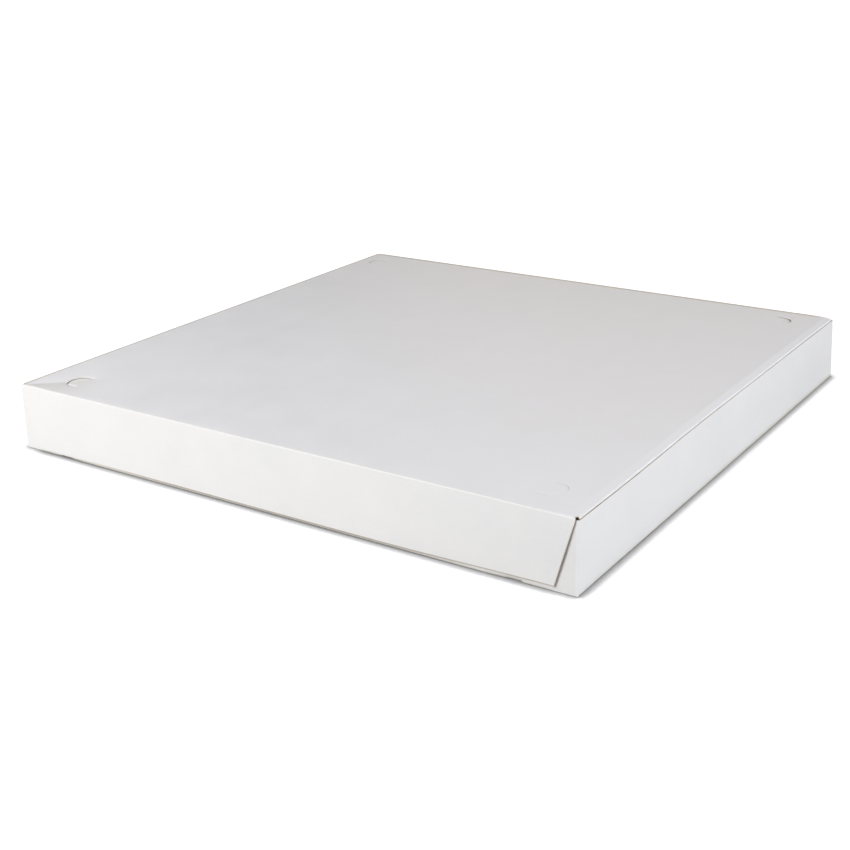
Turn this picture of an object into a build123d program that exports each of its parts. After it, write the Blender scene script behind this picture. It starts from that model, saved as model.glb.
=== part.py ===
from build123d import *
from math import atan2, cos, degrees, radians, sin
import os

# Flat square pizza box folded from one sheet of paperboard: a tray, a hinged lid and the lid's front flap.
# Millimetres. X runs side to side, the front wall faces -Y, the lid hinges at +Y, the bottom rests on Z = 0.

# Overall size and board
box_width = 406.4
box_depth = 406.4
box_height = 44.5
board = 0.6
fold_radius = 1.0

# Fits between plies
ply_gap = 0.1
flap_gap = 0.3
lid_side_gap = 0.3
wall_end_gap = 0.4
hinge_cut_angle = 4.0
side_wall_drop = 1.4
front_wall_gap = 0.5

# Lock tabs, measured inwards from the side wall's outer face and up from the floor
tab_reach = 40.0
tab_jog = 2.4
tab_low_run = 20.0
neck_low = 12.0
neck_high = 31.0
hook_length = 17.0
hook_barb = 4.0
hook_tip_inset = 5.0
slit_width = 2.9
slit_clearance = 0.4

# Lid's side flaps
side_flap_depth = 34.0
side_flap_front_gap = 0.4
side_flap_rear_gap = 1.5
side_flap_end_taper = 12.0
corner_chamfer = 1.5

# Front flap
flap_top_inset = 1.3
flap_bottom_inset = 13.2
flap_floor_gap = 3.0
flap_lean = 1.6

# U-shaped vent cuts in the lid
vent_radius = 8.5
vent_leg = 5.5
vent_kerf = 0.3
vent_front_left = (32.0, 22.5)
vent_front_right = (29.0, 27.0)
vent_rear_left = (21.0, 26.0)
vent_rear_right = (33.0, 25.0)

# Derived planes
half_width = box_width / 2
front_face = -box_depth / 2
rear_face = box_depth / 2
fold_inner = fold_radius - board
fold_mid = fold_radius - board / 2
fold_front = front_face + flap_lean
tab_front = fold_front + board + flap_gap
wall_front = tab_front + board + ply_gap
wall_rear = rear_face - board - ply_gap
side_wall_top = box_height - side_wall_drop
front_wall_top = box_height - board - front_wall_gap
wall_half = half_width - board - wall_end_gap
lid_half = half_width - board - lid_side_gap
panel_half = lid_half - fold_radius
fold_height = box_height - fold_radius
side_flap_low = box_height - side_flap_depth


def extrude_along_x(face, half_span):
    """A YZ profile drawn on Plane.YZ, run evenly to both sides of the middle."""
    return extrude(Plane.YZ * face, amount=half_span, both=True)


def extrude_along_y(face, start, end):
    """An XZ profile run from y = start to y = end."""
    plane = Plane(origin=(0, start, 0), x_dir=(1, 0, 0), z_dir=(0, -1, 0))
    return extrude(plane * face, amount=start - end)


def ring_sector(centre, start_angle, sweep_angle):
    """The board's section through one fold: a slice of a ring between two angles, seen in the profile's plane."""
    outer = CenterArc(centre, fold_radius, start_angle, sweep_angle)
    inner = CenterArc(centre, fold_inner, start_angle, sweep_angle)
    return make_face([outer, Line(outer @ 1, inner @ 1), inner, Line(inner @ 0, outer @ 0)])


def rectangle_between(low, high):
    """An axis-aligned rectangle given by two opposite corners."""
    centre = ((low[0] + high[0]) / 2, (low[1] + high[1]) / 2)
    return Pos(*centre) * Rectangle(high[0] - low[0], high[1] - low[1])


def end_wall(outer_y, inward, top):
    """Front or rear wall with its rounded bottom fold and a strip of the bottom panel."""
    inner_y = outer_y + inward * board
    centre_y = outer_y + inward * fold_radius
    wall = rectangle_between((min(outer_y, inner_y), fold_radius), (max(outer_y, inner_y), top))
    bend = ring_sector((centre_y, fold_radius), 180 if inward > 0 else 270, 90)
    reach_y = centre_y + inward * 2 * board
    strip = rectangle_between((min(centre_y, reach_y), 0), (max(centre_y, reach_y), board))
    return extrude_along_x(wall + bend + strip, wall_half)


def side_fold(start, end):
    """Right-hand bottom fold with a strip of the bottom panel."""
    centre_x = half_width - fold_radius
    bend = ring_sector((centre_x, fold_radius), 270, 90)
    strip = rectangle_between((centre_x - 2 * board, 0), (centre_x, board))
    return extrude_along_y(bend + strip, start, end)


def side_wall():
    """Right-hand wall in one strip: hook, slit jog, tab, corner fold, wall, then the same to the other end."""
    wall_x = half_width - board / 2
    jog_start = half_width - tab_reach
    jog_end = jog_start - tab_jog
    tip = jog_end - hook_length
    front_out = tab_front + board / 2
    front_in = wall_front + board + ply_gap + board / 2
    rear_out = rear_face - board / 2
    rear_in = wall_rear - board - ply_gap - board / 2
    path = FilletPolyline(
        (tip, front_in, fold_radius),
        (jog_end, front_in, fold_radius),
        (jog_start, front_out, fold_radius),
        (wall_x, front_out, fold_radius),
        (wall_x, rear_out, fold_radius),
        (jog_start, rear_out, fold_radius),
        (jog_end, rear_in, fold_radius),
        (tip, rear_in, fold_radius),
        radius=fold_mid,
    )
    section_plane = Plane(origin=path @ 0, x_dir=(0, 0, 1), z_dir=path % 0)
    section = section_plane * Rectangle(side_wall_top - fold_radius, board, align=(Align.MIN, Align.CENTER))
    strip = sweep(section, path=path)
    return strip & extrude_along_y(tab_outline(), front_face - board, rear_face + board)


def tab_outline():
    """Side wall and lock tab in front view: a full-height root, a narrower neck and a barbed hook past the slit."""
    root = half_width - 2 * fold_radius
    low_run = half_width - tab_low_run
    neck_start = half_width - tab_reach + board
    barb = half_width - tab_reach - tab_jog - 2 * board
    tip = half_width - tab_reach - tab_jog - hook_length
    points = [
        (half_width + board, 0),
        (half_width + board, box_height),
        (root, box_height),
        (root, side_wall_top),
        (neck_start, neck_high),
        (barb, neck_high),
        (barb, neck_high + hook_barb),
        (tip, neck_high - hook_tip_inset),
        (tip, neck_low + hook_tip_inset),
        (barb, neck_low - hook_barb),
        (barb, neck_low),
        (neck_start, neck_low),
        (low_run, fold_radius),
        (low_run, 0),
    ]
    return make_face(Polyline(*points, close=True))


def slits():
    """Openings in the front and rear walls that the lock tabs' necks pass through."""
    middle = half_width - tab_reach - tab_jog / 2
    low = neck_low - slit_clearance
    high = neck_high + slit_clearance
    cutters = []
    for side in (-1, 1):
        opening = rectangle_between(
            (side * middle - slit_width / 2, low), (side * middle + slit_width / 2, high)
        )
        cutters.append(extrude_along_y(opening, wall_front - ply_gap / 2, wall_front + board + ply_gap / 2))
        cutters.append(extrude_along_y(opening, wall_rear - board - ply_gap / 2, wall_rear + ply_gap / 2))
    return cutters


def rear_hinge_strip():
    """Top edge of the rear wall as wide as the lid's panel, and the tray's half of the hinge fold."""
    wall = rectangle_between((wall_rear - board, side_wall_top - board), (wall_rear, fold_height))
    bend = ring_sector((wall_rear - fold_radius, fold_height), 0, 45 - hinge_cut_angle)
    return extrude_along_x(wall + bend, panel_half)


def make_tray():
    right_wall = side_wall()
    right_fold = side_fold(tab_front + fold_radius, rear_face - fold_radius)
    inner_half = half_width - fold_radius
    floor_plate = extrude(
        rectangle_between((-inner_half, wall_front + fold_radius), (inner_half, wall_rear - fold_radius)),
        amount=board,
    )
    front = end_wall(wall_front, 1, front_wall_top)
    rear = end_wall(wall_rear, -1, side_wall_top)
    ends = front + rear
    for cutter in slits():
        ends = ends - cutter
    right = right_wall + right_fold
    left = mirror(right, about=Plane.YZ)
    return floor_plate + ends + rear_hinge_strip() + right + left


def vent_slot(side, from_side, from_edge, edge_y):
    """Narrow U-shaped cut, its round end towards the side edge and its two legs towards the middle."""
    centre_x = side * (half_width - from_side)
    centre_y = edge_y - from_edge if edge_y > 0 else edge_y + from_edge
    outer = vent_radius + vent_kerf / 2
    inner = vent_radius - vent_kerf / 2
    leg_end = centre_x - side * vent_leg
    low_x = min(centre_x, leg_end)
    high_x = max(centre_x, leg_end)
    upper_leg = rectangle_between((low_x, centre_y + inner), (high_x, centre_y + outer))
    lower_leg = rectangle_between((low_x, centre_y - outer), (high_x, centre_y - inner))
    ring = Pos(centre_x, centre_y) * (Circle(outer) - Circle(inner))
    round_side = rectangle_between(
        (min(centre_x, centre_x + side * 2 * outer), centre_y - 2 * outer),
        (max(centre_x, centre_x + side * 2 * outer), centre_y + 2 * outer),
    )
    slot = (ring & round_side) + upper_leg + lower_leg
    return extrude(Pos(0, 0, box_height - 2 * board) * slot, amount=3 * board)


def lid_side_flap():
    """Right-hand fold of the lid and the flap that hangs inside the side wall, its ends tapered downwards."""
    edge = panel_half
    start = wall_front + board + side_flap_front_gap
    end = wall_rear - board - side_flap_rear_gap
    flap = rectangle_between((lid_half - board, side_flap_low), (lid_half, fold_height))
    bend = ring_sector((edge, fold_height), 0, 90)
    strip = rectangle_between((edge - 2 * board, box_height - board), (edge, box_height))
    body = extrude_along_y(flap + bend + strip, start, end)
    side_view = Polyline(
        (start, box_height),
        (start, fold_height),
        (start + side_flap_end_taper, side_flap_low),
        (end - side_flap_end_taper, side_flap_low),
        (end, fold_height),
        (end, box_height),
        close=True,
    )
    return body & extrude_along_x(make_face(side_view), box_width)


def make_lid():
    front_centre = fold_front + fold_radius
    rear_centre = wall_rear - fold_radius
    panel = rectangle_between((front_centre, box_height - board), (rear_centre, box_height))
    front_bend = ring_sector((front_centre, fold_height), 90, 45 - hinge_cut_angle)
    rear_bend = ring_sector((rear_centre, fold_height), 45 + hinge_cut_angle, 45 - hinge_cut_angle)
    sheet = extrude_along_x(panel + front_bend + rear_bend, panel_half)
    right = lid_side_flap()
    lid = sheet + right + mirror(right, about=Plane.YZ)
    for side in (-1, 1):
        corner = make_face(
            Polyline(
                (side * panel_half, front_face - board),
                (side * panel_half, front_centre + corner_chamfer),
                (side * (panel_half - corner_chamfer), front_centre),
                (side * (panel_half - corner_chamfer), front_face - board),
                close=True,
            )
        )
        lid = lid - extrude(Pos(0, 0, box_height - 2 * board) * corner, amount=3 * board)
    lid = lid - vent_slot(-1, *vent_front_left, fold_front)
    lid = lid - vent_slot(1, *vent_front_right, fold_front)
    lid = lid - vent_slot(-1, *vent_rear_left, wall_rear)
    lid = lid - vent_slot(1, *vent_rear_right, wall_rear)
    return lid


def make_front_flap():
    """Front flap on its half of the front fold, sprung out a little at the bottom, where it is also narrower."""
    centre = fold_front + fold_radius
    lean_angle = degrees(atan2(flap_lean, fold_height - flap_floor_gap))
    bend = ring_sector((centre, fold_height), 135 + hinge_cut_angle, 45 - hinge_cut_angle - lean_angle)
    top_y = centre - fold_radius * cos(radians(lean_angle))
    top_z = fold_height + fold_radius * sin(radians(lean_angle))
    inner_y = centre - fold_inner * cos(radians(lean_angle))
    inner_z = fold_height + fold_inner * sin(radians(lean_angle))
    hang = make_face(
        Polyline(
            (top_y, top_z),
            (inner_y, inner_z),
            (front_face + board, flap_floor_gap),
            (front_face, flap_floor_gap),
            close=True,
        )
    )
    sheet = extrude_along_x(hang + bend, half_width - flap_top_inset)
    top = half_width - flap_top_inset
    bottom = half_width - flap_bottom_inset
    front_view = Polyline(
        (-top, box_height),
        (-top, fold_height),
        (-bottom, flap_floor_gap),
        (bottom, flap_floor_gap),
        (top, fold_height),
        (top, box_height),
        close=True,
    )
    return sheet & extrude_along_y(make_face(front_view), front_face - board, front_face + 3 * board)


os.makedirs("parts", exist_ok=True)
export_step(make_tray(), "parts/tray.step")
export_step(make_lid(), "parts/lid.step")
export_step(make_front_flap(), "parts/front_flap.step")
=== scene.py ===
import bpy
import math
import numpy as np
from mathutils import Matrix


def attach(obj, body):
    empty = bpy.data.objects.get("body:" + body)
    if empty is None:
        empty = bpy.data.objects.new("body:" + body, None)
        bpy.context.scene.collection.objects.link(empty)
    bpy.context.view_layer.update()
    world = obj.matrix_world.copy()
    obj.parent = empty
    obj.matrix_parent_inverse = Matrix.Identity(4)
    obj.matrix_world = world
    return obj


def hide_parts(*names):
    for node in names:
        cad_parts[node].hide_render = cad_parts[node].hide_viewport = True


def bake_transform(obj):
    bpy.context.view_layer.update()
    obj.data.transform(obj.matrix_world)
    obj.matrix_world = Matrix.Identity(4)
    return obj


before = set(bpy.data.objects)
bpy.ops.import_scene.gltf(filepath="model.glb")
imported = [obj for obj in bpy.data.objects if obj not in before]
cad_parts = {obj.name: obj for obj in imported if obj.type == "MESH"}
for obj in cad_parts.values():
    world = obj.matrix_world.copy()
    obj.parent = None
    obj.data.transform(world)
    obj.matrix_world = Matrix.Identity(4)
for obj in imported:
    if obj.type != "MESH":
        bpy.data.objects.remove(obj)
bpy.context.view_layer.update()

# Sizes in millimetres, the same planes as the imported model

HALF_W = 203.2
FRONT = -203.2
REAR = 203.2
TOP = 44.5
BOARD = 0.6
FOLD = 1.0
LEAN = 1.6
PLY_GAP = 0.1
TAB_GAP = 0.3
SIDE_DROP = 1.8
RIGHT_LEAN = 1.8
FOOT_BULGE = 1.2
FRONT_WALL_GAP = 0.5
LID_GAP = 0.15
SIDE_FLAP_DEPTH = 34.0
SIDE_FLAP_TAPER = 12.0
FOLD_FRONT = FRONT + LEAN
TAB_FRONT = FOLD_FRONT + BOARD + TAB_GAP
WALL_FRONT = TAB_FRONT + BOARD + PLY_GAP
WALL_REAR = REAR - BOARD - PLY_GAP
SIDE_TOP = TOP - SIDE_DROP
FRONT_TOP = TOP - BOARD - FRONT_WALL_GAP
PANEL_HALF = HALF_W - BOARD - LID_GAP - FOLD
PANEL_FRONT = FOLD_FRONT + FOLD
PANEL_REAR = WALL_REAR - FOLD
FLAP_TOP_HALF = HALF_W - 1.7
FLAP_LOW_HALF = HALF_W - 13.2
SLIT_IN = HALF_W - 41.2 - 1.45
SLIT_OUT = HALF_W - 41.2 + 1.45
SLIT_LOW = 11.6
SLIT_HIGH = 31.4
VENT_RADIUS = 8.5
VENT_LEG = 5.5
VENT_MIDDLE = -1.5

# Vent cuts: at the right or not, at the rear or not, middle x and y, how far the tongue is pressed in, the cut's
# width, and how far the board is crushed beside the legs

VENTS = (
    (0, 0, -HALF_W + 31.0, FOLD_FRONT + 24.0, 0.6, 0.32, 0.35),
    (1, 0, HALF_W - 29.0, FOLD_FRONT + 27.0, 0.15, 0.14, 0.12),
    (0, 1, -HALF_W + 21.0, WALL_REAR - 26.0, 0.35, 0.24, 0.1),
    (1, 1, HALF_W - 33.0, WALL_REAR - 25.0, 0.9, 0.35, 0.1),
)

# Grid counts: steps round a fold, rows beyond the bottom at each end and those up to and along a slit, steps down a
# side flap and columns with its fold, cells across a vent's window, with as many between two windows, and cells
# between a window and the fold before it. QUARTER is the angles of a fold's steps.

BEND = 8
END_ROWS = 40
ROWS_TO_SLIT = 15
SLIT_ROWS = 14
SIDE_FLAP_STEPS = 7
SIDE_COLUMNS = SIDE_FLAP_STEPS + BEND
VENT_CELLS = 24
VENT_START = 2
QUARTER = np.linspace(0, math.pi / 2, BEND + 1)[1:]

# Marks on the coat: above 0 tan, rubbed board that along the floor folds also stands in for their shade as
# painted shade, below 0 a painted highlight; and how near a plane a point counts as on it

ABRADED_AND_PAINTED_SHADE = 0.35
FOOT_ABRADED_AND_PAINTED_SHADE = 0.24
NEAR = 1.2

# Floor, light and camera, in metres and degrees

FLOOR_HALF = 14.0
FLOOR_WHITE = 0.5
FLOOR_GLOW = 0.78
CONTACT_REACH = 0.0065
CONTACT_DARK = 0.38
CONTACT_DARK_RIGHT = 0.23
ROOM_LIGHT = 0.25
CAMERA_PLACE = (0.49148, -0.77158, 0.33691)
CAMERA_AZIMUTH = 33.566
CAMERA_ELEVATION = 18.731
CAMERA_ROLL = -1.083
CAMERA_LENS = 59.18
CAMERA_SHIFT = -0.06

# Name, place, aim, size, power and colour of each lamp

LAMPS = (
    ("key_front_left", (-0.45, -1.2, 0.6), (-0.1, -0.1, 0.02), (0.6, 0.5), 13.3, (1.0, 0.977, 0.942)),
    ("over_front", (0.0, -0.4, 1.0), (0, -0.2, 0.04), (0.8, 0.3), 1.72, (0.60, 0.71, 1.0)),
    ("low_right", (1.3, -0.05, 0.4), (0.1, 0, 0), (0.7, 0.5), 10.25, (0.975, 0.978, 1.0)),
    ("low_left", (-1.5, 0.2, 0.5), (-0.1, 0, 0), (0.9, 0.6), 4.45, (1.0, 0.943, 0.887)),
    ("behind", (-0.6, 1.6, 0.7), (0, 0.1, 0), (1.0, 0.7), 2.9, (1.0, 0.77, 0.54)),
    ("low_behind", (0.15, 1.5, 0.05), (0.1, 0.2, 0.03), (0.8, 0.08), 4.0, (1.0, 1.0, 1.0)),
)


# Sheet tools

def grid_quads(rows, cols, outside_up=True):
    """Quads of a grid whose points are counted row by row. The face normal is columns x rows, turned over if outside_up
    is false."""
    j, i = np.meshgrid(np.arange(rows - 1), np.arange(cols - 1), indexing="ij")
    first = j * cols + i
    quads = np.stack([first, first + 1, first + cols + 1, first + cols], axis=-1)
    return quads if outside_up else quads[..., ::-1]


def vertex_normals(points, quads):
    """Each point's normal is the sum, over its faces, of the cross product of the face's diagonals, made one long."""
    first = points[quads[:, 2]] - points[quads[:, 0]]
    second = points[quads[:, 3]] - points[quads[:, 1]]
    area = np.cross(first, second)
    total = np.zeros_like(points)
    for corner in range(4):
        np.add.at(total, quads[:, corner], area)
    length = np.linalg.norm(total, axis=1, keepdims=True)
    return total / np.maximum(length, 1e-12)


def board_mesh(name, points, quads, finishes, abrasion_and_painted_light, body):
    """A closed sheet of board: the outside face, the same face moved inwards along its normals by the board's
    thickness, and a strip of raw edge along every open side. Two attributes go with it: ply, 0 outside and 1 inside,
    and abrasion_and_painted_light_map, per point: above 0 tan, rubbed board and in places painted shade, and below 0
    a painted highlight. It rides on body, unless that is None."""
    used = np.unique(quads)
    place = np.full(len(points), -1)
    place[used] = np.arange(len(used))
    points, quads, abrasion_and_painted_light_map = lean_in(points[used]), place[quads], abrasion_and_painted_light[used]
    count = len(points)
    inner = points - BOARD * vertex_normals(points, quads)
    edges = np.stack([quads, np.roll(quads, -1, axis=1)], axis=-1).reshape(-1, 2)
    keys = edges[:, 0].astype(np.int64) * count + edges[:, 1]
    back = edges[:, 1].astype(np.int64) * count + edges[:, 0]
    rim = edges[~np.isin(back, keys)]
    rim_quads = np.stack([rim[:, 1], rim[:, 0], rim[:, 0] + count, rim[:, 1] + count], axis=-1)
    inner_quads = quads[:, ::-1] + count
    faces = np.concatenate([quads, inner_quads, rim_quads])
    kind = np.repeat([0, 1, 2], [len(quads), len(inner_quads), len(rim_quads)])
    mesh = bpy.data.meshes.new(name)
    mesh.from_pydata((np.concatenate([points, inner]) * 0.001).tolist(), [], faces.tolist())
    for finish in finishes:
        mesh.materials.append(finish)
    mesh.polygons.foreach_set("material_index", kind.astype(np.int32))
    mesh.polygons.foreach_set("use_smooth", np.ones(len(faces), dtype=bool))
    ply = mesh.attributes.new("ply", "FLOAT", "POINT")
    ply.data.foreach_set("value", np.repeat([0.0, 1.0], count).astype(np.float32))
    # Per point: above 0 tan, rubbing and painted shade; below 0 a painted highlight.
    abrasion_and_painted_light_layer = mesh.attributes.new("abrasion_and_painted_light_map", "FLOAT", "POINT")
    abrasion_and_painted_light_layer.data.foreach_set("value", np.tile(abrasion_and_painted_light_map, 2).astype(np.float32))
    mesh.update()
    mesh.validate()
    mesh.set_sharp_from_angle(angle=math.radians(38))
    piece = bpy.data.objects.new(name, mesh)
    bpy.context.scene.collection.objects.link(piece)
    if body:
        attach(piece, body)
    return piece


def stretch(*stops):
    """Grid lines in runs: stops are value, count, value, count, ..., value, and each run is divided evenly."""
    lines = [np.array([stops[0]], dtype=float)]
    for k in range(1, len(stops), 2):
        lines.append(np.linspace(stops[k - 1], stops[k + 1], stops[k] + 1)[1:])
    return np.concatenate(lines)


def soft_step(x, low, high):
    """0 below low, 1 above high, and 3t^2 - 2t^3 between."""
    t = np.clip((x - low) / (high - low), 0.0, 1.0)
    return t * t * (3 - 2 * t)


# Shapes of the sheets

def lean_in(points):
    """The box's right side leans in at the top: not at the front, and by RIGHT_LEAN from its middle to the rear. The
    shift grows with height and over the last 18 mm of x, so every sheet there moves together."""
    x, y, z = points.T
    shift = RIGHT_LEAN * soft_step(x, 185.0, 202.5) * soft_step(y, -165.0, -20.0) * np.clip(z / TOP, 0, 1)
    return points - np.stack([shift, shift * 0, shift * 0], axis=-1)


def lid_drop(x, y):
    """How far the lid's panel lies below its highest level. It rolls off to the left fold over the last 7 mm, to the
    right one over 5.5 mm, evenly and more towards the rear, and a little to the front fold over 6 mm. Two slow waves,
    a sine along x times a cosine along y, cross it, and fade out 60 mm from its edges. A crease runs in diagonally
    from the front left corner. It is deepest 10 mm in and gone by 42 mm, and the panel slopes straight down to it on
    both sides."""
    from_side = np.maximum(PANEL_HALF - np.abs(x), 0)
    from_front = np.maximum(y - PANEL_FRONT, 0)
    side_depth = np.where(x > 0, 0.25 + 0.45 * soft_step(y, -200.0, 60.0), 0.4)
    side_power = np.where(x > 0, 1.0, 1.5)
    side_width = np.where(x > 0, 5.5, 7.0)
    side_roll = side_depth * np.clip(1 - from_side / side_width, 0, 1) ** side_power
    roll = side_roll + 0.15 * np.clip(1 - from_front / 6.0, 0, 1) ** 1.5
    inside = soft_step(from_side, 0, 60) * soft_step(from_front, 0, 60) * soft_step(PANEL_REAR - y, 0, 60)
    waves = 0.28 * (1 + np.sin(x / 74.0 + y / 160.0 + 0.6) * np.cos(y / 92.0 - x / 210.0 - 0.4))
    left = x + PANEL_HALF
    along = (left + from_front) / 2
    slope_share = np.minimum(left, from_front) / np.maximum(np.maximum(left, from_front), 1e-6)
    crease = 1.5 * (1 - np.exp(-along / 4.5)) * (1 - soft_step(along, 10.0, 42.0))
    return roll + inside * waves + crease * slope_share


def flap_stand(u, v):
    """How far the front flap stands out from its fold's plane, at u across and v down. Left of the middle it leans
    straight out, a little more at the left end. Towards the right it swells instead, in a sine that is highest a little
    past half way down, and comes part of the way back."""
    right = soft_step(u, 0.1, 0.95)
    swell = np.sin(math.pi * np.clip(v, 0, 1) ** 0.8 * 0.80)
    lean = 0.42 * v ** 1.1 + 0.12 * soft_step(-u, 0.5, 1.0) * v
    return LEAN * (right * 0.30 * swell + (1 - right) * lean)


def corner_bow(x, z):
    """How far the front wall and the lock tabs lying on it bow into the box, between 1 and 60 mm from each corner: a
    half sine of 0.12 mm up the wall."""
    from_corner = HALF_W - np.abs(x)
    span = soft_step(from_corner, 1.0, 12.0) * (1 - soft_step(from_corner, 32.0, 60.0))
    return 0.12 * span * np.sin(math.pi * np.clip((z - FOLD) / (SIDE_TOP - FOLD), 0, 1))


def foot_bulge(x, y, z):
    """How far the foot of the front wall and the bottom's front edge bulge out: by FOOT_BULGE between the two lock
    tabs, up to 4 mm above the floor, and none from 22 mm up."""
    between = soft_step(-y, 185.0, 199.0) * (1 - soft_step(np.abs(x), 158.5, 163.4))
    return FOOT_BULGE * between * (1 - soft_step(z, 4.0, 22.0))


def tab_profile():
    """A lock tab, row by row from the side wall: how far in each row is beyond the corner fold, and the heights of its
    lower and upper edge in the side wall's last row, round the fold and on. Both edges run straight between their
    corners: the foot, the neck that passes the slit, the barb and the hook's tip."""
    inward = np.concatenate([
        [2, 6, 10, 13, 16, 20, 24, 28, 32, 35, 38, 39.4, 40],
        np.linspace(40.3, 42.4, 8),
        [43.6, 43.75, 46, 48, 50, 52, 54, 56, 58, 59.4],
    ])
    low = np.interp(inward, [0, 32, 39.4, 43.6, 43.75, 59.4], [0.3, 0.3, 12, 12, 8, 17])
    high = np.interp(inward, [0, 2, 39.4, 43.6, 43.75, 59.4], [SIDE_TOP, SIDE_TOP, 31, 31, 35, 26])
    low = np.concatenate([[FOLD], np.full(BEND, 0.3), low])
    high = np.concatenate([np.full(BEND + 1, SIDE_TOP), high])
    return inward, low, high


def tray_abrasion_and_painted_light(x, y, z, on_tab):
    """The tray's abrasion and painted light. It is tan along the floor folds and the foot of the front wall, rubbed
    board that also stands in for the shade there as painted shade; it fades out towards the wall's right end, and it
    grows towards the rear on the right side. The tabs are tan only below, from 12 mm in. The rear right corner fold
    gets a trace of painted shade, the front right one a painted highlight, and what lies on the floor is clean."""
    at_front = y < WALL_FRONT + NEAR
    at_right = x > HALF_W - NEAR
    low_edge = (np.abs(np.abs(x) - HALF_W) < NEAR) | at_front | (y > WALL_REAR - NEAR)
    # Floor folds: tan, partly rubbed board and partly painted shade.
    abrasion_and_painted_light = ABRADED_AND_PAINTED_SHADE * (low_edge & (z < FOLD + 0.01))
    right_end = soft_step(x, 110.0, 160.0) * (z > FOLD + 0.01)
    # Foot of the front wall: the same tan, partly painted shade, fading out to the right.
    abrasion_and_painted_light = np.where(at_front, FOOT_ABRADED_AND_PAINTED_SHADE * (z < FOLD + 1.31) * (1 - right_end), abrasion_and_painted_light)
    # Right side: the tan band, partly painted shade, growing towards the rear.
    grown = np.where(z < FOLD + 0.2, soft_step(y, -205.0, -160.0), soft_step(y, -170.0, 60.0))
    abrasion_and_painted_light = np.where(at_right & ~at_front, ABRADED_AND_PAINTED_SHADE * (z < FOLD + 1.21) * grown, abrasion_and_painted_light) * ~on_tab
    # Tab feet: the same tan, partly painted shade.
    tab_foot = ABRADED_AND_PAINTED_SHADE * (on_tab & at_front & (z < FOLD)) * soft_step(HALF_W - np.abs(x), 12.0, 20.0)
    # Rear right corner fold: a trace of painted shade.
    rear_fold = 0.12 * (at_right & (y > REAR - 0.95) & (z > FOLD))
    # Front right corner fold: a painted highlight.
    front_fold = at_right & (y < TAB_FRONT + 0.95) & (z > FOLD)
    abrasion_and_painted_light = np.maximum(np.maximum(abrasion_and_painted_light, tab_foot), rear_fold)
    # The front right corner fold is set to -0.6, a painted highlight.
    return np.where(front_fold, -0.6, abrasion_and_painted_light) * (z > 0.05)


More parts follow.
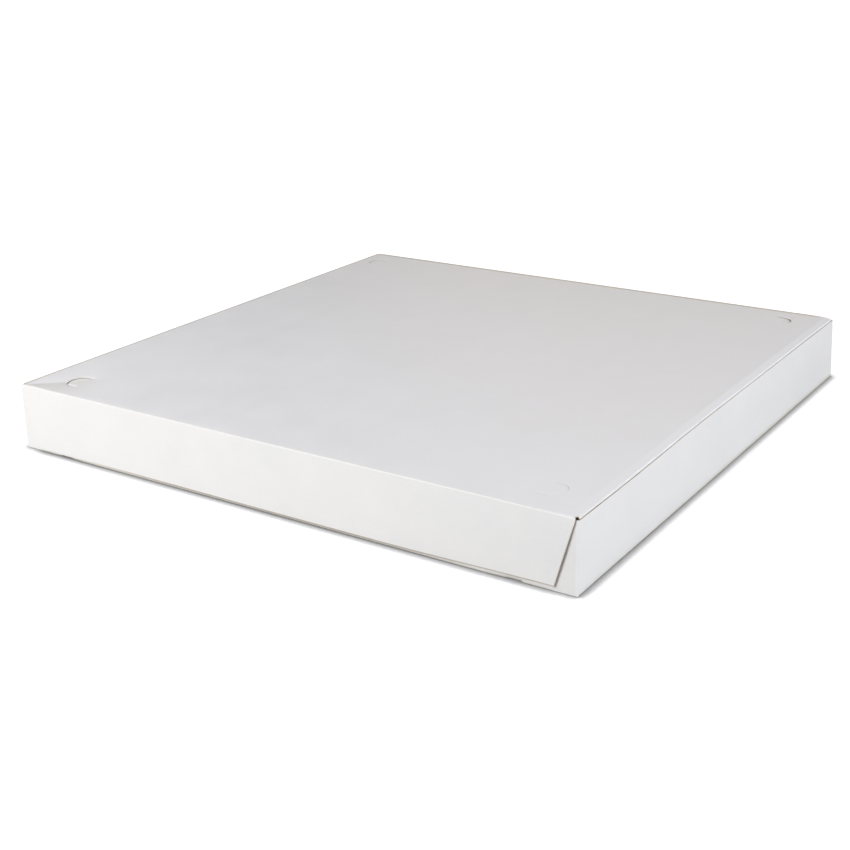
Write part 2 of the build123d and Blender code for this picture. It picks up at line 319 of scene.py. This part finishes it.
def make_tray(finishes):
    """The tray's cross-shaped blank, folded: columns run from the left wall's top over the bottom to the right wall's
    top, and rows from the front to the rear. Bottom columns go on up the front and rear walls. Wall columns go on
    round the corner folds as lock tabs, jog inwards through the slits and end as hooks. Every fold is a quarter
    circle. The side walls bow in by a half sine along the box, and the rear wall's top follows the lid."""
    half_base = HALF_W - FOLD
    side_height = SIDE_TOP - FOLD
    base_x = stretch(-half_base, 11, -SLIT_OUT, 2, -SLIT_IN, 26, SLIT_IN, 2, SLIT_OUT, 11, half_base)
    rise_up = np.concatenate([np.array([0.15, 1.2, 1.9]) / side_height, np.linspace(0, 1, 9)[1:]])
    wall = rise_up * 0 + math.pi / 2
    turn = np.concatenate([wall, QUARTER[::-1], base_x * 0, QUARTER, wall])
    rise = np.concatenate([rise_up[::-1], QUARTER * 0, base_x * 0, QUARTER * 0, rise_up])
    counts = [len(wall) + BEND, len(base_x), len(wall) + BEND]
    side = np.repeat([-1.0, 0.0, 1.0], counts)
    base_line = np.concatenate([np.full(counts[0], -half_base), base_x, np.full(counts[2], half_base)])
    column_x = base_line + side * FOLD * np.sin(turn)
    cols = len(turn)
    in_base = turn == 0
    in_wall = turn == math.pi / 2
    mid_height = FOLD * (1 - np.cos(turn)) + rise * side_height
    inward, low, high = tab_profile()

    def end_rows(direction, wall_y, wall_top, tab_y):
        """Rows beyond the bottom at one end, counted outwards, for direction -1 (front) or +1 (rear)."""
        up = stretch(FOLD, 1, FOLD + 0.15, 1, FOLD + 1.3, 6, SLIT_LOW, SLIT_ROWS, SLIT_HIGH, 10, wall_top)[1:]
        fold_y = wall_y - direction * FOLD * (1 - np.sin(QUARTER))
        centre_y = np.concatenate([fold_y, np.full(len(up), wall_y)])
        centre_z = np.concatenate([FOLD * (1 - np.cos(QUARTER)), up])
        hook_y = wall_y - direction * (BOARD + PLY_GAP)
        bend_x = np.concatenate([[HALF_W], HALF_W - FOLD + FOLD * np.cos(QUARTER), HALF_W - inward])
        corner_y = tab_y - direction * FOLD * (1 - np.sin(QUARTER))
        flat_y = tab_y + (hook_y - tab_y) * soft_step(inward, 40.0, 42.4)
        bend_y = np.concatenate([[tab_y - direction * FOLD], corner_y, flat_y])
        x = np.where(in_base, column_x, side * bend_x[:, None])
        x[0] = column_x
        y = np.where(in_base, centre_y[:, None], bend_y[:, None])
        z_wall = low[:, None] + rise * (high - low)[:, None]
        front_cut = 3.0 * (1 - soft_step(half_base - np.abs(column_x), 0.5, 6.0))
        under_lid = lid_drop(np.minimum(np.abs(column_x), PANEL_HALF) * np.sign(column_x), PANEL_REAR)
        cut = (front_cut if direction < 0 else under_lid) * soft_step(centre_z, SLIT_HIGH, wall_top)[:, None]
        z = np.where(in_base, centre_z[:, None] - cut, z_wall)
        z[0] = np.where(in_base, centre_z[0], mid_height)
        return x, y, z

    front_x, front_y, front_z = end_rows(-1, WALL_FRONT, FRONT_TOP, TAB_FRONT)
    rear_x, rear_y, rear_z = end_rows(1, WALL_REAR, TOP - FOLD, REAR)
    base_y = stretch(WALL_FRONT + FOLD, 30, WALL_REAR - FOLD)[:, None]
    length = (base_y - base_y[0]) / (base_y[-1] - base_y[0])
    mid_x = column_x - side * 0.22 * np.sin(math.pi * length) * rise * (1 - 0.3 * rise)
    mid_y = np.tile(base_y, (1, cols))
    mid_z = np.tile(mid_height, (len(base_y), 1))
    x = np.concatenate([front_x[::-1], mid_x, rear_x])
    y = np.concatenate([front_y[::-1], mid_y, rear_y])
    z = np.concatenate([front_z[::-1], mid_z, rear_z])
    rows = len(x)
    y = y + (np.arange(rows) < END_ROWS)[:, None] * corner_bow(x, z) - foot_bulge(x, y, z)
    points = np.stack([x, y, z], axis=-1)

    quads = grid_quads(rows, cols, outside_up=False)
    base_cell = in_base[:-1] & in_base[1:]
    wall_cell = in_wall[:-1] & in_wall[1:]
    row = np.arange(rows - 1)[:, None]
    rear_start = rows - END_ROWS - 1
    over_base = (row >= END_ROWS - 1) & (row <= rear_start)
    centre_x = (column_x[:-1] + column_x[1:]) / 2
    over_slit = (np.abs(centre_x) > SLIT_IN) & (np.abs(centre_x) < SLIT_OUT)
    beyond = np.where(row < END_ROWS, END_ROWS - 1 - row, row - rear_start)
    at_slit = (beyond > ROWS_TO_SLIT) & (beyond <= ROWS_TO_SLIT + SLIT_ROWS) & ((row < END_ROWS) | (row >= rear_start))
    kept = (base_cell | wall_cell | over_base) & ~(base_cell & over_slit & at_slit)
    from_end = np.minimum(np.arange(rows), np.arange(rows)[::-1])[:, None]
    abrasion_and_painted_light = tray_abrasion_and_painted_light(x, y, z, (from_end < END_ROWS) & in_wall)
    points, quads = points.reshape(-1, 3), quads[kept].reshape(-1, 4)
    return board_mesh("tray_sheet", points, quads, finishes, abrasion_and_painted_light.ravel(), "tray")


def vent_outline(angle):
    """Distance from the vent's middle to its D-shaped outline in each direction: a half circle towards the side edge,
    two straight legs and a fold line across their ends. The middle lies a little inside the half circle."""
    dx, dy = np.cos(angle), np.sin(angle)
    to_legs = VENT_RADIUS / np.maximum(np.abs(dy), 1e-9)
    to_fold = np.where(dx > 1e-9, (VENT_LEG - VENT_MIDDLE) / np.maximum(dx, 1e-9), 1e9)
    straight = np.minimum(to_legs, to_fold)
    to_arc = -VENT_MIDDLE * dx + np.sqrt(np.maximum(VENT_RADIUS ** 2 - (VENT_MIDDLE * dy) ** 2, 0))
    return np.where(VENT_MIDDLE + straight * dx < 0, to_arc, straight)


def cut_vent(points, quads, cols, c0, r0, centre, towards_middle, press, kerf, crush):
    """Turns a square window of the panel's grid, from column c0 and row r0 on, into a vent. Rings of the window are
    drawn to the vent's outline, the ring on the cut gets a second set of points one kerf further in, both rings are
    crushed down a little, by crush more on the straight legs, and the tongue inside is pressed down by a power of its
    distance from its fold."""
    c1, r1 = c0 + VENT_CELLS, r0 + VENT_CELLS
    columns, rows = np.arange(c0, c1 + 1), np.arange(r0, r1 + 1)
    j, i = np.meshgrid(rows, columns, indexing="ij")
    s = (i - (c0 + c1) / 2) / ((c1 - c0) / 2)
    t = (j - (r0 + r1) / 2) / ((r1 - r0) / 2)
    ring = np.maximum(np.abs(s), np.abs(t))
    angle = np.arctan2(t, s * towards_middle)
    reach = vent_outline(angle)
    middle = np.array([centre[0] + VENT_MIDDLE * towards_middle, centre[1]])
    edge_x = middle[0] + towards_middle * reach * np.cos(angle)
    edge_y = middle[1] + reach * np.sin(angle)
    ids = j * cols + i
    inside = ring <= 0.5 + 1e-9
    share = np.where(inside, ring / 0.5, 0)
    x_in = middle[0] + (edge_x - middle[0]) * share
    y_in = middle[1] + (edge_y - middle[1]) * share
    safe_ring = np.maximum(ring, 1e-9)
    border_column = c0 + (s / safe_ring + 1) * (c1 - c0) / 2
    border_row = r0 + (t / safe_ring + 1) * (r1 - r0) / 2
    border_x = np.interp(border_column, columns, points[r0 * cols + columns, 0])
    border_y = np.interp(border_row, rows, points[rows * cols + c0, 1])
    out = np.clip((ring - 0.5) / 0.5, 0, 1)
    x_new = np.where(inside, x_in, edge_x + (border_x - edge_x) * out)
    y_new = np.where(inside, y_in, edge_y + (border_y - edge_y) * out)
    points = points.copy()
    points[ids, 0] = x_new
    points[ids, 1] = y_new
    points[ids, 2] = TOP - lid_drop(x_new, y_new)
    from_fold = VENT_LEG - (x_new - centre[0]) * towards_middle
    sink = press * np.clip(from_fold / (VENT_LEG + VENT_RADIUS), 0, 1.2) ** 1.2
    strictly = ring < 0.5 - 1e-9
    points[ids[strictly], 2] -= sink[strictly]
    cut = (np.abs(ring - 0.5) < 1e-9) & (from_fold > 0.05)
    lookup = np.arange(len(points))
    lookup[ids[cut]] = len(points) + np.arange(cut.sum())
    points[ids[cut], 2] -= 0.12 + crush * soft_step(np.abs(y_new[cut] - centre[1]), 6.0, 8.4)
    copies = points[ids[cut]].copy()
    pull = kerf / np.maximum(reach[cut], 1e-6)
    copies[:, 0] += (middle[0] - copies[:, 0]) * pull
    copies[:, 1] += (middle[1] - copies[:, 1]) * pull
    copies[:, 2] -= sink[cut]
    points = np.concatenate([points, copies])
    cell_s = (s[:-1, :-1] + s[1:, 1:]) / 2
    cell_t = (t[:-1, :-1] + t[1:, 1:]) / 2
    in_tongue = np.maximum(np.abs(cell_s), np.abs(cell_t)) < 0.5
    window = quads[r0:r1, c0:c1]
    quads[r0:r1, c0:c1] = np.where(in_tongue[..., None], lookup[window], window)
    return points, quads


def lid_abrasion_and_painted_light(x, y, z):
    """The lid's abrasion and painted light: tan along the rear fold but for its right end, and along the left fold,
    rubbed board that also stands in for the shade where those folds turn away, as painted shade; a painted highlight
    beside the right fold, more towards the rear; and painted shade in the triangle in front of the corner crease. The
    side flaps are clean."""
    # Rear and left folds: tan, partly rubbed board and partly painted shade.
    at_rear = 0.8 * soft_step(y, PANEL_REAR - 5.0, PANEL_REAR - 0.5) * (1 - soft_step(x, 186.0, 199.0))
    at_left = 0.8 * soft_step(-x, PANEL_HALF - 2.4, PANEL_HALF)
    tan_abrasion_and_painted_shade = np.maximum(at_rear, at_left)
    # Painted highlight: a paler band beside the right fold.
    pale = soft_step(x, PANEL_HALF - 5.2, PANEL_HALF - 3.6) * (0.2 + 0.35 * soft_step(y, -190.0, 60.0))
    abrasion_and_painted_light = np.where(tan_abrasion_and_painted_shade > 0.02, tan_abrasion_and_painted_shade, -pale) * (z > SIDE_TOP)
    # Painted shade: the triangle in front of the corner crease is made darker.
    left = x + PANEL_HALF
    in_front = soft_step(left - (y - PANEL_FRONT), 0.0, 1.0 + 0.15 * np.abs(left))
    painted_shade = 0.19 * in_front * (1 - soft_step(left, 14.0, 60.0))
    return np.where(painted_shade > 0, np.maximum(abrasion_and_painted_light, painted_shade), abrasion_and_painted_light)


def make_lid(finishes):
    """The lid's panel and its two tucked side flaps, one blank: columns run from the left flap's lower edge over the
    panel to the right flap's, rows from front to rear. The folds are quarter circles, and the flaps' ends taper over
    their depth. The panel's two front corners are cut back a little."""
    panel_x = stretch(-PANEL_HALF, VENT_START, -199.0, VENT_CELLS, -157.0, VENT_CELLS, 152.0, VENT_CELLS, 196.0, 3,
                      PANEL_HALF)
    fall_down = np.linspace(0, 1, SIDE_FLAP_STEPS + 1)[1:]
    flap_turn = np.full(SIDE_FLAP_STEPS, math.pi / 2)
    turn = np.concatenate([flap_turn, QUARTER[::-1], panel_x * 0, QUARTER, flap_turn])
    fall = np.concatenate([fall_down[::-1], QUARTER * 0, panel_x * 0, QUARTER * 0, fall_down])
    side = np.concatenate([-np.ones(SIDE_COLUMNS), np.zeros(len(panel_x)), np.ones(SIDE_COLUMNS)])
    line = np.concatenate([np.full(SIDE_COLUMNS, -PANEL_HALF), panel_x, np.full(SIDE_COLUMNS, PANEL_HALF)])
    column_x = line + side * FOLD * np.sin(turn)
    cols = len(turn)
    flap_start = WALL_FRONT + BOARD + 0.4
    flap_end = PANEL_REAR - 0.15
    between = stretch(flap_start, VENT_START, -196.0, VENT_CELLS, -157.0, VENT_CELLS, 157.0, VENT_CELLS, 196.0, 3,
                      flap_end)
    row_y = np.concatenate([[PANEL_FRONT], between, [PANEL_REAR]])[:, None]
    rows = len(row_y)
    x = np.tile(column_x, (rows, 1))
    middle = (flap_start + flap_end) / 2
    shrink = 1 - SIDE_FLAP_TAPER / ((flap_end - flap_start) / 2) * fall
    y = np.where(fall > 0, middle + (row_y - middle) * shrink, row_y)
    drop = lid_drop(np.tile(line, (rows, 1)), np.tile(row_y, (1, cols)))
    z = TOP - drop - FOLD * (1 - np.cos(turn)) - fall * (SIDE_FLAP_DEPTH - FOLD)
    points = np.stack([x, y, z], axis=-1)
    for column in (SIDE_COLUMNS, cols - SIDE_COLUMNS - 1):
        points[0, column] += (-0.9 * np.sign(line[column]), 0.6, 0)
    points = points.reshape(-1, 3)
    quads = grid_quads(rows, cols).copy()
    for at_right, at_rear, centre_x, centre_y, press, kerf, crush in VENTS:
        column = SIDE_COLUMNS + VENT_START + at_right * 2 * VENT_CELLS
        row = 1 + VENT_START + at_rear * 2 * VENT_CELLS
        points, quads = cut_vent(points, quads, cols, column, row, (centre_x, centre_y), 1 - 2 * at_right, press, kerf,
                                 crush)
    panel_cell = (turn[:-1] == 0) & (turn[1:] == 0)
    row = np.arange(rows - 1)[:, None]
    kept = panel_cell | ((row >= 1) & (row < rows - 2))
    quads = quads[kept].reshape(-1, 4)
    return board_mesh("lid_sheet", points, quads, finishes, lid_abrasion_and_painted_light(*points.T), "lid")


def make_front_flap(finishes):
    """The front flap: rows go down from the fold, columns run between two ends that taper inwards, and the sheet
    stands out as flap_stand says. The lower edge rises to both ends, more to the right. It is tan, less so at the two
    ends, and so is the right end, more lower down: rubbed board that also stands in for the shade of the gaps under
    and beside the flap, as painted shade."""
    u, v = np.meshgrid(stretch(-1, 60, 0.997, 2, 1), stretch(0, 24, 0.972, 2, 0.985, 2, 1), indexing="xy")
    x = u * (FLAP_TOP_HALF + (FLAP_LOW_HALF - FLAP_TOP_HALF) * v)
    top = TOP - FOLD - lid_drop(u * PANEL_HALF, np.full_like(x, PANEL_FRONT))
    bottom = 1.9 - 0.3 * soft_step(u, -0.8, 0.0) + 1.5 * soft_step(u, 0.45, 1.0)
    y = FOLD_FRONT - flap_stand(u, v)
    z = top + (bottom - top) * v
    points = np.stack([x, y, z], axis=-1).reshape(-1, 3)
    quads = grid_quads(*u.shape, outside_up=False).reshape(-1, 4)
    # Tan lower edge and right end: rubbing and painted shade of the gaps behind them.
    low_edge = 0.15 + 0.75 * soft_step(u, -0.9, -0.35) - 0.2 * soft_step(u, 0.5, 0.9)
    abrasion_and_painted_light = np.maximum(low_edge * (v > 0.984), (u > 0.998) * (0.15 + 0.55 * v))
    return board_mesh("front_flap_sheet", points, quads, finishes, abrasion_and_painted_light.ravel(), "front_flap")


def crease_strip(name, start_half, end_half, centre_y, end_angle, abrasion_and_painted_light, gather, finishes):
    """A quarter-circle fold running across the box, from its top to its vertical side. Rows follow the turn and
    columns follow x, and the strip's half width goes from start_half to end_half as it turns. The tan mark,
    abrasion_and_painted_light, goes with the sine of the angle to the power of gather, so it is even where that is 0,
    and it fades out at the right end."""
    share, s = np.meshgrid(np.linspace(0, 1, 13), stretch(-1, 48, 1), indexing="ij")
    angle = math.pi / 2 + (end_angle - math.pi / 2) * share
    x = s * (start_half + (end_half - start_half) * share)
    height = TOP - FOLD - lid_drop(s * PANEL_HALF, np.full_like(s, centre_y))
    points = np.stack([x, centre_y + FOLD * np.cos(angle), height + FOLD * np.sin(angle)], axis=-1).reshape(-1, 3)
    quads = grid_quads(*x.shape, outside_up=end_angle < 1).reshape(-1, 4)
    abrasion_and_painted_light = abrasion_and_painted_light * np.abs(np.sin(angle)) ** gather * (1 - soft_step(s, 0.92, 0.99))
    return board_mesh(name, points, quads, finishes, abrasion_and_painted_light.ravel(), None)


def make_creases(finishes):
    """The lid's front and rear folds."""
    front = crease_strip("front_crease", PANEL_HALF - 0.4, FLAP_TOP_HALF, PANEL_FRONT, math.pi, 0.13, 0, finishes)
    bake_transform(front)
    # The rear fold's tan, 0.9, is partly rubbed board and partly painted shade where the fold turns away.
    rear = crease_strip("rear_crease", PANEL_HALF, PANEL_HALF, PANEL_REAR, 0.0, 0.9, 2, finishes)
    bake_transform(rear)


# Finishes

def ramp(tree, source, *stops):
    """A colour ramp between (position, colour) stops, fed by source."""
    made = tree.nodes.new("ShaderNodeValToRGB")
    elements = made.color_ramp.elements
    elements[0].position, elements[0].color = stops[0][0], (*stops[0][1], 1)
    elements[1].position, elements[1].color = stops[-1][0], (*stops[-1][1], 1)
    for position, colour in stops[1:-1]:
        elements.new(position).color = (*colour, 1)
    tree.links.new(source, made.inputs[0])
    return made.outputs[0]


def ramp_value(tree, source, low, high, start=0.0, end=1.0):
    """start below low and end above high, straight between."""
    made = tree.nodes.new("ShaderNodeMapRange")
    made.inputs["From Min"].default_value = low
    made.inputs["From Max"].default_value = high
    made.inputs["To Min"].default_value = start
    made.inputs["To Max"].default_value = end
    tree.links.new(source, made.inputs["Value"])
    return made.outputs["Result"]


def mix(tree, factor, first, second, blend="MIX"):
    """A colour mix; factor, first and second are sockets or values."""
    made = tree.nodes.new("ShaderNodeMix")
    made.data_type = "RGBA"
    made.blend_type = blend
    for index, value in ((0, factor), (6, first), (7, second)):
        if isinstance(value, bpy.types.NodeSocket):
            tree.links.new(value, made.inputs[index])
        else:
            made.inputs[index].default_value = value if index == 0 else (*value, 1)
    return made.outputs[2]


def math_node(tree, operation, first, second):
    """One arithmetic step; first and second are sockets or numbers."""
    made = tree.nodes.new("ShaderNodeMath")
    made.operation = operation
    for index, value in ((0, first), (1, second)):
        if isinstance(value, bpy.types.NodeSocket):
            tree.links.new(value, made.inputs[index])
        else:
            made.inputs[index].default_value = value
    return made.outputs[0]


def noise(tree, place, scale, detail, roughness, stretch_by=None):
    """Noise on the piece's own coordinates in metres, so that scale is cycles per metre; stretch_by draws it out
    along an axis."""
    if stretch_by:
        mapping = tree.nodes.new("ShaderNodeMapping")
        mapping.inputs["Scale"].default_value = stretch_by
        tree.links.new(place, mapping.inputs["Vector"])
        place = mapping.outputs["Vector"]
    made = tree.nodes.new("ShaderNodeTexNoise")
    made.inputs["Scale"].default_value = scale
    made.inputs["Detail"].default_value = detail
    made.inputs["Roughness"].default_value = roughness
    tree.links.new(place, made.inputs["Vector"])
    return made.outputs["Fac"]


def own_value(tree, name):
    """The value of one of the piece's attributes."""
    made = tree.nodes.new("ShaderNodeAttribute")
    made.attribute_name = name
    return made.outputs["Fac"]


def new_finish(name):
    """A material with an empty tree, its principled shader and output, and the piece's coordinates."""
    material = bpy.data.materials.new(name)
    material.use_nodes = True
    tree = material.node_tree
    tree.nodes.clear()
    shader = tree.nodes.new("ShaderNodeBsdfPrincipled")
    output = tree.nodes.new("ShaderNodeOutputMaterial")
    tree.links.new(shader.outputs[0], output.inputs[0])
    place = tree.nodes.new("ShaderNodeTexCoord").outputs["Object"]
    return material, tree, shader, place


def bump(tree, shader, height, strength, distance):
    """Feeds a height to the shader's normal."""
    made = tree.nodes.new("ShaderNodeBump")
    made.inputs["Strength"].default_value = strength
    made.inputs["Distance"].default_value = distance
    tree.links.new(height, made.inputs["Height"])
    tree.links.new(made.outputs["Normal"], shader.inputs["Normal"])


def coated_white():
    """The outside: white clay coat over fibres, with a fine cloudy tone, coat streaks along the machine direction, a
    tooth in the surface and a low sheen that varies with the cloud. Where the abrasion_and_painted_light_map attribute
    is above 0 the coat turns tan, partly rubbed down to tan board and partly painted shade along folds and edges, and
    where it is below 0 it is mixed paler, a painted highlight."""
    material, tree, shader, place = new_finish("clay_coated_white_board")
    cloud = noise(tree, place, 26.0, 4.0, 0.6)
    fibre = noise(tree, place, 900.0, 3.0, 0.65, (1.0, 0.35, 1.0))
    speck = noise(tree, place, 2600.0, 2.0, 0.6)
    streak = noise(tree, place, 60.0, 2.0, 0.5, (1.0, 0.08, 1.0))
    grain = noise(tree, place, 160.0, 3.0, 0.6)
    base = ramp(tree, cloud, (0.3, (0.795, 0.797, 0.800)), (0.5, (0.812, 0.812, 0.812)), (0.72, (0.828, 0.827, 0.824)))
    base = mix(tree, 0.10, base, ramp(tree, fibre, (0.3, (0.70, 0.70, 0.69)), (0.7, (0.88, 0.88, 0.88))))
    base = mix(tree, 0.05, base, ramp(tree, streak, (0.35, (0.72, 0.73, 0.75)), (0.65, (0.86, 0.85, 0.84))))
    abrasion_and_painted_light_value = own_value(tree, "abrasion_and_painted_light_map")
    patchy = math_node(tree, "ADD", 0.85, math_node(tree, "MULTIPLY", ramp_value(tree, grain, 0.3, 0.7), 0.15))
    tan_abrasion_and_painted_shade = math_node(tree, "MULTIPLY", abrasion_and_painted_light_value, patchy)
    # Tan: rubbed board, and painted shade where the map stands in for shade on folds and edges.
    tan = ramp(tree, tan_abrasion_and_painted_shade, (0.4, (0.67, 0.64, 0.57)), (0.9, (0.42, 0.38, 0.33)))
    base = mix(tree, ramp_value(tree, tan_abrasion_and_painted_shade, 0.02, 0.4), base, tan)
    # Painted highlight: below 0 the coat is mixed towards a paler white.
    base = mix(tree, math_node(tree, "MULTIPLY", abrasion_and_painted_light_value, -1.0), base, (0.885, 0.890, 0.900))
    tree.links.new(base, shader.inputs["Base Color"])
    tree.links.new(ramp_value(tree, cloud, 0.3, 0.7, 0.44, 0.56), shader.inputs["Roughness"])
    shader.inputs["IOR"].default_value = 1.46
    shader.inputs["Specular IOR Level"].default_value = 0.42
    height = math_node(tree, "ADD", math_node(tree, "MULTIPLY", fibre, 0.7), math_node(tree, "MULTIPLY", speck, 0.3))
    bump(tree, shader, height, 0.22, 0.00005)
    return material


def kraft_inside():
    """The inside: uncoated brown kraft with pale and dark fibres lying mostly one way and a soft matt tooth."""
    material, tree, shader, place = new_finish("brown_kraft_inside")
    cloud = noise(tree, place, 40.0, 4.0, 0.6)
    fibre = noise(tree, place, 700.0, 4.0, 0.7, (1.0, 0.22, 1.0))
    fleck = noise(tree, place, 1500.0, 2.0, 0.5, (0.5, 1.0, 1.0))
    base = ramp(tree, cloud, (0.3, (0.335, 0.215, 0.115)), (0.7, (0.42, 0.28, 0.16)))
    base = mix(tree, 0.35, base, ramp(tree, fibre, (0.32, (0.24, 0.145, 0.07)), (0.68, (0.54, 0.39, 0.24))))
    base = mix(tree, ramp_value(tree, fleck, 0.66, 0.76), base, (0.60, 0.47, 0.32))
    tree.links.new(base, shader.inputs["Base Color"])
    shader.inputs["Roughness"].default_value = 0.86
    shader.inputs["Specular IOR Level"].default_value = 0.25
    bump(tree, shader, fibre, 0.35, 0.00008)
    return material


def raw_edge():
    """The cut edge: the ply attribute runs from the coated face (0) to the kraft face (1), so the coat shows as a thin
    white line over a tan core of ragged fibres."""
    material, tree, shader, place = new_finish("raw_cut_edge")
    ragged = noise(tree, place, 1800.0, 3.0, 0.65)
    wander = math_node(tree, "MULTIPLY", math_node(tree, "SUBTRACT", ragged, 0.5), 0.35)
    depth = math_node(tree, "ADD", own_value(tree, "ply"), wander)
    base = ramp(tree, depth, (0.10, (0.76, 0.74, 0.70)), (0.24, (0.60, 0.52, 0.42)), (0.6, (0.50, 0.40, 0.29)),
                (0.95, (0.36, 0.25, 0.15)))
    tree.links.new(base, shader.inputs["Base Color"])
    shader.inputs["Roughness"].default_value = 0.9
    shader.inputs["Specular IOR Level"].default_value = 0.2
    bump(tree, shader, ragged, 0.5, 0.00006)
    return material


# Floor, light and camera

def make_floor():
    """A white floor. To the camera it also glows, more away from the box, so it reads as white. Where the box stands on
    it both its colour and its glow fall off, as in the thin shadow under a board edge, and the shadow is deeper on the
    right."""
    line = np.linspace(-1, 1, 41)
    u, v = np.meshgrid(line, line, indexing="xy")
    points = np.stack([u * FLOOR_HALF, v * FLOOR_HALF, u * 0], axis=-1).reshape(-1, 3)
    mesh = bpy.data.meshes.new("floor")
    mesh.from_pydata(points.tolist(), [], grid_quads(*u.shape).reshape(-1, 4).tolist())
    floor = bpy.data.objects.new("floor", mesh)
    bpy.context.scene.collection.objects.link(floor)
    material = bpy.data.materials.new("white_floor")
    material.use_nodes = True
    tree = material.node_tree
    tree.nodes.clear()
    contact = tree.nodes.new("ShaderNodeAmbientOcclusion")
    contact.samples = 4
    contact.inputs["Distance"].default_value = CONTACT_REACH
    open_share = ramp_value(tree, contact.outputs["AO"], 0.56, 0.97)
    place = tree.nodes.new("ShaderNodeTexCoord").outputs["Object"]
    apart = tree.nodes.new("ShaderNodeSeparateXYZ")
    tree.links.new(place, apart.inputs[0])
    beside = ramp_value(tree, apart.outputs["X"], HALF_W * 0.001 - 0.012, HALF_W * 0.001 + 0.002)
    dark = mix(tree, beside, (CONTACT_DARK,) * 3, (CONTACT_DARK_RIGHT,) * 3)
    matt = tree.nodes.new("ShaderNodeBsdfDiffuse")
    tree.links.new(mix(tree, open_share, dark, (FLOOR_WHITE,) * 3), matt.inputs[0])
    far = tree.nodes.new("ShaderNodeVectorMath")
    far.operation = "LENGTH"
    tree.links.new(place, far.inputs[0])
    reach = ramp_value(tree, far.outputs["Value"], 0.32, 1.1, FLOOR_GLOW, 1.0)
    seen = tree.nodes.new("ShaderNodeLightPath").outputs["Is Camera Ray"]
    glow = tree.nodes.new("ShaderNodeEmission")
    strength = math_node(tree, "MULTIPLY", math_node(tree, "MULTIPLY", reach, open_share), seen)
    tree.links.new(strength, glow.inputs["Strength"])
    both = tree.nodes.new("ShaderNodeAddShader")
    tree.links.new(matt.outputs[0], both.inputs[0])
    tree.links.new(glow.outputs[0], both.inputs[1])
    output = tree.nodes.new("ShaderNodeOutputMaterial")
    tree.links.new(both.outputs[0], output.inputs[0])
    mesh.materials.append(material)


def soft_box(name, place, aim, size, power, colour):
    """A rectangular lamp at place, facing aim."""
    lamp = bpy.data.lights.new(name, "AREA")
    lamp.shape = "RECTANGLE"
    lamp.size, lamp.size_y = size
    lamp.energy = power
    lamp.color = colour
    holder = bpy.data.objects.new(name, lamp)
    bpy.context.scene.collection.objects.link(holder)
    away = np.array(place, float) - np.array(aim, float)
    away /= np.linalg.norm(away)
    across = np.cross([0, 0, 1], away)
    across /= np.linalg.norm(across)
    up = np.cross(away, across)
    turn = np.eye(4)
    turn[:3, 0], turn[:3, 1], turn[:3, 2], turn[:3, 3] = across, up, away, place
    holder.matrix_world = Matrix(turn.tolist())


def make_lights():
    """A soft key at the front left, near enough to fade along the front, a cool lamp over the lid's front edge, one low
    on each side, a warm one behind and one low behind that reaches only the hidden sides. The room is dim, and white
    where the camera looks past the floor."""
    world = bpy.data.worlds.new("studio")
    world.use_nodes = True
    tree = world.node_tree
    background = tree.nodes["Background"]
    background.inputs[0].default_value = (1, 1, 1, 1)
    seen = tree.nodes.new("ShaderNodeLightPath").outputs["Is Camera Ray"]
    to_camera = math_node(tree, "MULTIPLY", seen, 1 - ROOM_LIGHT)
    tree.links.new(math_node(tree, "ADD", to_camera, ROOM_LIGHT), background.inputs[1])
    bpy.context.scene.world = world
    for lamp in LAMPS:
        soft_box(*lamp)


def make_camera():
    """The photograph's viewpoint, with a slight roll."""
    azimuth, elevation, roll = np.radians([CAMERA_AZIMUTH, CAMERA_ELEVATION, CAMERA_ROLL])
    flat = math.cos(elevation)
    back = np.array([math.sin(azimuth) * flat, -math.cos(azimuth) * flat, math.sin(elevation)])
    right = np.array([math.cos(azimuth), math.sin(azimuth), 0])
    up = np.cross(back, right)
    turn = np.eye(4)
    turn[:3, 0] = math.cos(roll) * right + math.sin(roll) * up
    turn[:3, 1] = -math.sin(roll) * right + math.cos(roll) * up
    turn[:3, 2] = back
    turn[:3, 3] = CAMERA_PLACE
    lens = bpy.data.cameras.new("camera")
    lens.sensor_width = 36.0
    lens.lens = CAMERA_LENS
    lens.shift_y = CAMERA_SHIFT
    lens.clip_start = 0.01
    lens.clip_end = 60.0
    camera = bpy.data.objects.new("camera", lens)
    camera.matrix_world = Matrix(turn.tolist())
    bpy.context.scene.collection.objects.link(camera)
    bpy.context.scene.camera = camera


bpy.context.scene.view_settings.view_transform = "Standard"
board_finishes = (coated_white(), kraft_inside(), raw_edge())
tray = make_tray(board_finishes)
lid = make_lid(board_finishes)
front_flap = make_front_flap(board_finishes)
make_creases(board_finishes)
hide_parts("tray")
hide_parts("lid")
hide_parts("front_flap")
make_floor()
make_lights()
make_camera()
